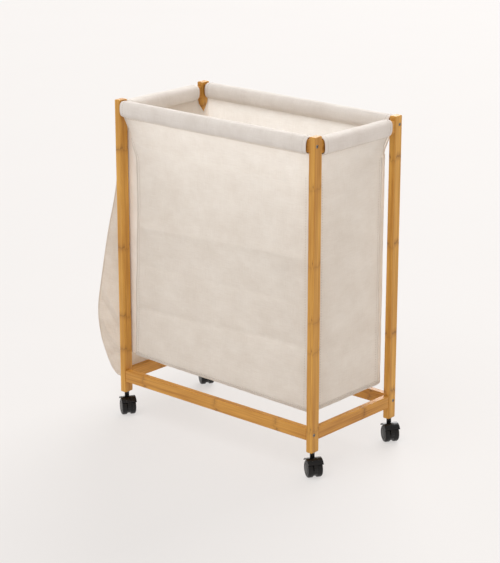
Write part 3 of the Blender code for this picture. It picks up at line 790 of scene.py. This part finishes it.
def gusset_relief(share, height, side_y):
    """How far the end gusset stands out: a slack middle with slanting drag folds low down."""
    slack = math.sin(math.pi * share) * min(1, max(0, (0.655 - height) / 0.25))
    out = 0.0035 * slack * math.sin(math.pi * min(1, max(0, height / 0.65)))
    out += slack * wobble(share * 2.0, height / 0.085, 4.0 + side_y, 0.0060)
    low = math.exp(-((height - 0.150) / 0.075) ** 2)
    ridge = math.sin((share * 1.9 - height / 0.060) * 4.0 + side_y) ** 3
    out += 0.0062 * low * ridge * math.sin(math.pi * share) ** 0.7
    tuck = height - 0.066 - 0.020 * (1 - share)
    out -= 0.0065 * math.exp(-(tuck / 0.010) ** 2) * math.sin(math.pi * share)
    out += slack * wobble(share * 5, height / 0.030, 8.0 + side_y, 0.0017)
    return out


def build_gusset(side, side_y, canvas):
    """The pouch's end, between its outline and the bag."""
    wall = smooth_curve(POUCH_WALL, 12)
    sling = smooth_curve(POUCH_SLING, 7)
    lowest = min(range(len(sling)), key=lambda index: sling[index][0])
    outer = wall + sling[1:lowest + 1]
    inner = sling[lowest:]
    bottom = sling[lowest][0] + 0.0006
    top = POUCH_WALL[0][0]
    row_count = 130
    columns = 22
    rows = []
    for step in range(row_count + 1):
        height = bottom + (top - bottom) * (step / row_count) ** 1.25
        reach = outline_reach(height, outer)
        root = outline_reach(height, inner) if height < inner[-1][0] else POUCH_INNER
        row = []
        for column in range(columns + 1):
            share = column / columns
            out = root + (reach - root) * share
            y = MIDDLE_Y + side_y * (DEPTH / 2 - POUCH_END + gusset_relief(share, height, side_y))
            row.append(Vector((LEFT - out, y, FOOT + height)))
        rows.append(row if side_y < 0 else row[::-1])
    gusset = cloth_sheet("pouch_end_" + side, rows, canvas)
    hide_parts("pouch_gusset_" + side)


def build_corner_web(side, side_y, canvas, thread):
    """The cloth that runs from the bag's left corner, behind the post, to the pouch's end."""
    steps = 84
    columns = 16
    rows = []
    edge = 0.0 if side == "front" else 1.0
    pouch_y = MIDDLE_Y + side_y * (DEPTH / 2 - POUCH_END)
    bend_y = MIDDLE_Y + side_y * (DEPTH / 2 - WEB_BEND_INSET)
    for step in range(steps + 1):
        share = step / steps
        bag_height = BAG_LOW + 0.001 + (BAG_NOTCH - BAG_LOW - 0.001) * share
        pouch_height = POUCH_SLING[-1][0] + (WEB_TOP - POUCH_SLING[-1][0]) * share
        bag_edge = panel_point(side, edge, bag_height, -0.0006)
        pouch_edge = Vector((LEFT - POUCH_INNER, pouch_y, FOOT + pouch_height))
        bend = Vector((LEFT + WEB_BEND, bend_y, (bag_edge.z + pouch_edge.z) / 2))
        row = []
        for column in range(columns + 1):
            along = column / columns
            point = bag_edge * (1 - along) ** 2 + bend * 2 * along * (1 - along)
            point += pouch_edge * along ** 2
            slack = math.sin(math.pi * along)
            pleat = slack * wobble(along * 2.2, bag_height / 0.10, 3.7 + side_y, 0.0022)
            pleat += slack * wobble(along * 4, bag_height / 0.028, 6.7 + side_y, 0.0007)
            row.append(point - Vector((0, side_y * (0.0008 + abs(pleat)), 0)))
        rows.append(row)
    web = cloth_sheet("pouch_web_" + side, rows, canvas)
    sewn = [row[1] + Vector((0, side_y * 0.0007, 0)) for row in rows]
    stitches = stitch_row(f"pouch_web_{side}_stitches", [sewn], thread)


def build_pouch(canvas, web_canvas_painted_lit, thread):
    rows, seam_row = pouch_rows()
    wall = cloth_sheet("pouch_wall", rows, canvas)
    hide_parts("pouch_outer_panel", "pouch_bottom_panel")
    for side, side_y in (("front", -1), ("back", 1)):
        build_gusset(side, side_y, canvas)
        # The corner cloth gets the paler, opaque canvas: painted light that brightens it where it lies in
        # shade behind the post
        build_corner_web(side, side_y, web_canvas_painted_lit, thread)
    half = DEPTH / 2 - POUCH_END
    inner_rows = []
    low = POUCH_SLING[-1][0]
    for step in range(41):
        height = low + (POUCH_TOP - low) * step / 40
        row = []
        for column in range(25):
            share = column / 24
            slack = min(1, 8 * share * (1 - share)) * math.sin(math.pi * step / 40)
            out = POUCH_INNER + slack * wobble(share * 4, height / 0.11, 6.6, 0.0010)
            row.append(Vector((LEFT - out, MIDDLE_Y - half + 2 * half * share, FOOT + height)))
        inner_rows.append(row)
    inner = cloth_sheet("pouch_back_sheet", inner_rows, canvas)
    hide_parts("pouch_inner_panel")
    hem = swept_tube("pouch_mouth_hem", rows[0], 0.0016, canvas)
    seam = swept_tube("pouch_low_seam", rows[seam_row], 0.0011, canvas, sides=7)
    front_cord = swept_tube("pouch_front_cord", [row[0] for row in rows], 0.0015, canvas)
    back_cord = swept_tube("pouch_back_cord", [row[-1] for row in rows], 0.0015, canvas)
    mouth_path = [point + Vector((-0.0007, 0, -0.009)) for point in rows[1]]
    sewn = [mouth_path]
    for column in (1, -2):
        sewn.append([row[column] + Vector((-0.0007, 0, 0)) for row in rows[2:seam_row]])
    stitches = stitch_row("pouch_stitches", sewn, thread)


# ---------------------------------------------------------------- casters

def turned_piece(name, profile, segments, centre, axis, material, body):
    """A closed solid turned about an axis. The profile is (radius, place along the axis from the centre)."""
    side = axis.cross(Vector((0, 0, 1))).normalized()
    top = side.cross(axis)
    points = []
    for radius, place in profile:
        for step in range(segments):
            angle = 2 * math.pi * step / segments
            spoke = math.cos(angle) * side + math.sin(angle) * top
            points.append(centre + axis * place + radius * spoke)
    faces = grid_faces(len(profile), segments, wrap=True)
    last = (len(profile) - 1) * segments
    faces.append(tuple(range(segments))[::-1])
    faces.append(tuple(range(last, last + segments)))
    return make_piece(name, points, faces, material, body, crease_angle=math.radians(32))


def wheel_profile(inner, outer, radius):
    """From the middle of the inner face, over the tread, to the middle of the hub cap in the outer face."""
    rounding = 0.0042
    profile = [(0.0030, inner + 0.0003), (0.0105, inner + 0.0003), (0.0112, inner)]
    profile += [(radius - 0.0012, inner), (radius - 0.0004, inner + 0.0003), (radius, inner + 0.0012)]
    steps = 7
    for step in range(steps + 1):
        angle = math.radians(90) * step / steps
        across = radius - rounding * (1 - math.cos(angle))
        profile.append((across, outer - rounding * (1 - math.sin(angle))))
    profile += [(0.0128, outer + 0.0001), (0.0122, outer - 0.0008), (0.0116, outer - 0.0008)]
    profile += [(0.0110, outer - 0.0001), (0.0070, outer + 0.0003), (0.0030, outer + 0.0004)]
    return profile


def build_wheels(tread):
    for corner in CORNERS:
        hub = joint_place(f"caster_{corner}_roll_a")
        for letter in "ab":
            node = f"caster_{corner}_wheel_{letter}"
            lowest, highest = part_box(node)
            away = (lowest + highest) / 2 - hub
            axis = joint_axis(f"caster_{corner}_roll_{letter}")
            if away.dot(axis) < 0:
                axis = -axis
            middle = away.dot(axis)
            radius = (highest.z - lowest.z) / 2
            profile = wheel_profile(middle - WHEEL_HALF_WIDTH, middle + WHEEL_HALF_WIDTH, radius)
            name = f"wheel_{corner}_{letter}"
            piece = turned_piece(name, profile, 56, hub, axis, tread, node)
            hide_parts(node)


def joint_named(name):
    return next(joint for joint in frame["joints"] if joint["name"] == name)


def joint_place(name):
    return Vector(joint_named(name)["pos_m"])


def joint_axis(name):
    return Vector(joint_named(name)["axis"]).normalized()


def soften_edges(node, width):
    """Rounds the sharp edges of a CAD node's look without touching its mesh."""
    bevel = frame["nodes"][node].modifiers.new("softened edges", "BEVEL")
    bevel.width = width
    bevel.segments = 3
    bevel.limit_method = "ANGLE"
    bevel.angle_limit = math.radians(38)


# ---------------------------------------------------------------- CAD nodes' materials

def coat_node(node, material):
    mesh = frame["nodes"][node].data
    mesh.materials.clear()
    mesh.materials.append(material)


def dress_frame():
    """Bamboo on the posts and rails, each with its own grain and knots, and steel on the fasteners."""
    post_knots = {
        "front_left": (0.585, 0.352, 0.188, 0.105),
        "front_right": (0.592, 0.425, 0.300, 0.232, 0.052),
        "back_left": (0.640, 0.470, 0.310, 0.130),
        "back_right": (0.606, 0.410, 0.200, 0.062),
    }
    for index, corner in enumerate(CORNERS):
        knots = [FOOT + height for height in post_knots[corner]]
        seed = 0.37 * index + 0.11
        coat_node("post_" + corner, bamboo_material("bamboo post " + corner, 2, knots, seed, *POST_WOOD))
        soften_edges("post_" + corner, POST_ROUNDING)
    rail_knots = {"front": (0.075, 0.300, 0.480), "back": (0.160, 0.365, 0.520)}
    for level_index, level in enumerate(("bottom", "top")):
        for index, side in enumerate(("front", "back")):
            knots = [LEFT + place + 0.021 * level_index for place in rail_knots[side]]
            seed = 0.61 * index + 1.3 * level_index + 0.2
            wood = bamboo_material(f"bamboo {level} rail {side}", 0, knots, seed, *RAIL_WOOD)
            coat_node(f"{level}_rail_{side}", wood)
        for index, side in enumerate(("left", "right")):
            knots = [FRONT + 0.120 + 0.060 * index + 0.030 * level_index]
            seed = 0.83 * index + 0.9 * level_index + 0.5
            wood = bamboo_material(f"bamboo {level} rail {side}", 1, knots, seed, *RAIL_WOOD)
            coat_node(f"{level}_rail_{side}", wood)
    steel = steel_material()
    housing = plastic_material("caster housing plastic", (0.0030, 0.0029, 0.0029), 0.26, 2600, 0.5)
    for corner in CORNERS:
        coat_node(f"screw_{corner}_bottom", steel)
        coat_node(f"screw_{corner}_top", steel)
        for part in ("socket", "stem", "axle"):
            coat_node(f"caster_{corner}_{part}", steel)
        coat_node(f"caster_{corner}_hood", housing)
        soften_edges(f"caster_{corner}_hood", HOOD_ROUNDING)


# ---------------------------------------------------------------- stage

def build_floor():
    material, tree, shader = new_material("pale studio floor", 0.85)
    point = make_node(tree, "ShaderNodeTexCoord").outputs["Object"]
    mottle = stretched_noise(tree, point, (3, 3, 3), 2)
    colour = blend_colours(tree, mottle, (0.212, 0.205, 0.199, 1), (0.220, 0.213, 0.207, 1))
    tree.links.new(colour, shader.inputs["Base Color"])
    shader.inputs["Emission Color"].default_value = (0.585, 0.566, 0.554, 1)
    shader.inputs["Emission Strength"].default_value = 1.0
    half = 30.0
    mesh = bpy.data.meshes.new("studio_floor")
    corners = [(-half, -half, 0), (half, -half, 0), (half, half, 0), (-half, half, 0)]
    mesh.from_pydata(corners, [], [(0, 1, 2, 3)])
    mesh.materials.append(material)
    floor = bpy.data.objects.new("studio_floor", mesh)
    bpy.context.scene.collection.objects.link(floor)


def add_sun(name, strength, softness, azimuth, elevation, colour=(1.0, 1.0, 1.0)):
    """A soft sun that shines from the given azimuth (0 is from the front, 90 from the right)."""
    light = bpy.data.lights.new(name, "SUN")
    light.energy = strength
    light.color = colour
    light.angle = math.radians(softness)
    lamp = bpy.data.objects.new(name, light)
    lamp.rotation_euler = (math.radians(90 - elevation), 0, math.radians(azimuth))
    bpy.context.scene.collection.objects.link(lamp)


def build_lights():
    world = bpy.data.worlds.new("studio")
    world.use_nodes = True
    world.node_tree.nodes["Background"].inputs[0].default_value = (0.93, 0.905, 0.89, 1)
    world.node_tree.nodes["Background"].inputs[1].default_value = 0.565
    bpy.context.scene.world = world
    add_sun("key", 1.32, 45, 8, 62)
    add_sun("back", 2.60, 50, 200, 26)
    add_sun("fill", 0.22, 70, 96, 24, (1.0, 0.72, 0.52))
    bpy.context.scene.view_settings.view_transform = "Standard"


def build_camera():
    azimuth = math.radians(41.43)
    elevation = math.radians(17.32)
    distance = 4.618
    target = Vector((LEFT + 0.0617, FRONT + 0.3910, FOOT + 0.1923))
    back = Vector((
        math.sin(azimuth) * math.cos(elevation),
        -math.cos(azimuth) * math.cos(elevation),
        math.sin(elevation),
    ))
    camera = bpy.data.objects.new("camera", bpy.data.cameras.new("camera"))
    camera.data.lens = 120.2
    camera.data.sensor_width = 36
    camera.location = target + back * distance
    camera.rotation_euler = (-back).to_track_quat("-Z", "Y").to_euler()
    camera.data.clip_end = 200
    bpy.context.scene.collection.objects.link(camera)
    bpy.context.scene.camera = camera


def main():
    sleeve_canvas = canvas_material("sleeve canvas", (0.825, 0.775, 0.725), (0.700, 0.640, 0.585), 9.0)
    bag_canvas = canvas_material("bag canvas", (0.920, 0.882, 0.828), (0.800, 0.744, 0.678), 0.0, 0.42)
    pouch_canvas = canvas_material("pouch canvas", (0.960, 0.900, 0.825), (0.800, 0.715, 0.620), 4.0, 0.42)
    # Paler than the bag canvas and letting no light through: painted light for the corner cloth, which sits
    # in the post's shade
    web_canvas_painted_lit = canvas_material("corner canvas with painted light", (0.970, 0.930, 0.870), (0.880, 0.825, 0.755), 6.0)
    thread = thread_material()
    tread = plastic_material("wheel plastic", (0.0030, 0.0028, 0.0028), 0.32, 2100, 0.6)
    dress_frame()
    build_bag(bag_canvas, thread)
    for side in SIDES:
        build_sleeve(side, sleeve_canvas, thread)
    build_pouch(pouch_canvas, web_canvas_painted_lit, thread)
    build_wheels(tread)
    build_floor()
    build_lights()
    build_camera()


main()
